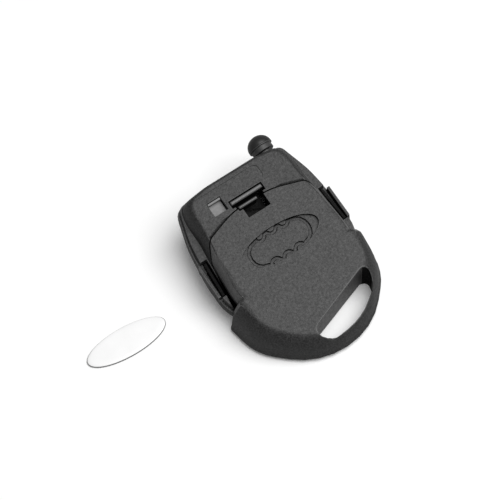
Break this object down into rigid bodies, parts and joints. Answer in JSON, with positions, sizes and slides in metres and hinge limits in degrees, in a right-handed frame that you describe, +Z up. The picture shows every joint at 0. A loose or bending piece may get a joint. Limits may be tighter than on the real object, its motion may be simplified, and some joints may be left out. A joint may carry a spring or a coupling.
{
  "type": "car key shell",
  "caption": "Black car key shell with a sliding remote unit, a key-ring slot, an oval badge recess, push buttons, a latch and a round plug at the blade end.",
  "frame": {"origin": "the flat front panel of the front cover, straight below the badge recess, as the shell lies on its front", "axes": "+X to the right seen from the back, +Y towards the blade end, +Z up, out of the back; the back plane climbs 1 in 4 towards +Y"},
  "size_m": [0.0811, 0.0605, 0.02],
  "materials": {
    "black_plastic": "fine moulded texture",
    "dark_rubber": "soft matte",
    "badge_plastic": "polished, blank",
    "pale_plastic": "natural moulded",
    "board_laminate": "lacquered laminate",
    "chip_resin": "matte resin",
    "bright_metal": "brushed",
    "contact_metal": "bright spring strip"
  },
  "bodies": {
    "key_head": {"key_head": "black_plastic", "transponder": "chip_resin", "badge_insert": "badge_plastic"},
    "transmitter": {"rear_cover": "black_plastic", "blade_collar": "black_plastic", "circuit_board": "board_laminate", "controller_chip": "chip_resin", "resonator_can": "bright_metal", "switch_boot": "bright_metal", "switch_lock": "bright_metal", "switch_unlock": "bright_metal", "coin_cell": "bright_metal", "cell_contact_plus": "contact_metal", "cell_contact_minus": "contact_metal", "cell_carrier": "pale_plastic"},
    "latch": {"latch_tongue": "black_plastic"},
    "blade_plug": {"blade_plug": "black_plastic"},
    "front_cover": {"front_cover": "black_plastic", "button_pad": "dark_rubber"},
    "lock_button": {"button_lock": "dark_rubber"},
    "unlock_button": {"button_unlock": "dark_rubber"},
    "boot_button": {"button_boot": "dark_rubber"},
    "lock_plunger": {"plunger_lock": "chip_resin"},
    "unlock_plunger": {"plunger_unlock": "chip_resin"},
    "boot_plunger": {"plunger_boot": "chip_resin"}
  },
  "joints": [
    {"name": "transmitter_slide", "type": "slide", "parent": "key_head", "child": "transmitter", "axis": [0, 0.9701, 0.2425], "range_m": [0, 0.03]},
    {"name": "latch_press", "type": "hinge", "parent": "transmitter", "child": "latch", "pos_m": [0, 0.01643, 0.01371], "axis": [1, 0, 0], "range_deg": [0, 5], "stiffness_Nm_per_rad": 0.05, "springref_deg": -1.15},
    {"name": "blade_plug_pull", "type": "slide", "parent": "transmitter", "child": "blade_plug", "axis": [0, 0.9701, 0.2425], "range_m": [0, 0.012]},
    {"name": "front_cover_lift", "type": "slide", "parent": "transmitter", "child": "front_cover", "axis": [0, 0.2425, -0.9701], "range_m": [0, 0.008]},
    {"name": "lock_button_travel", "type": "slide", "parent": "front_cover", "child": "lock_button", "axis": [0, 0, 1], "range_m": [0, 0.0004], "stiffness_N_per_m": 300, "springref_m": -0.0001},
    {"name": "unlock_button_travel", "type": "slide", "parent": "front_cover", "child": "unlock_button", "axis": [0, 0, 1], "range_m": [0, 0.0004], "stiffness_N_per_m": 300, "springref_m": -0.0001},
    {"name": "boot_button_travel", "type": "slide", "parent": "front_cover", "child": "boot_button", "axis": [0, 0, 1], "range_m": [0, 0.0004], "stiffness_N_per_m": 300, "springref_m": -0.0001},
    {"name": "lock_plunger_travel", "type": "slide", "parent": "transmitter", "child": "lock_plunger", "axis": [0, 0, 1], "range_m": [0, 0.0004]},
    {"name": "unlock_plunger_travel", "type": "slide", "parent": "transmitter", "child": "unlock_plunger", "axis": [0, 0, 1], "range_m": [0, 0.0004]},
    {"name": "boot_plunger_travel", "type": "slide", "parent": "transmitter", "child": "boot_plunger", "axis": [0, 0, 1], "range_m": [0, 0.0004]}
  ],
  "couplings": [
    {"joint": "lock_plunger_travel", "follows": "lock_button_travel", "ratio": 1},
    {"joint": "unlock_plunger_travel", "follows": "unlock_button_travel", "ratio": 1},
    {"joint": "boot_plunger_travel", "follows": "boot_button_travel", "ratio": 1}
  ]
}
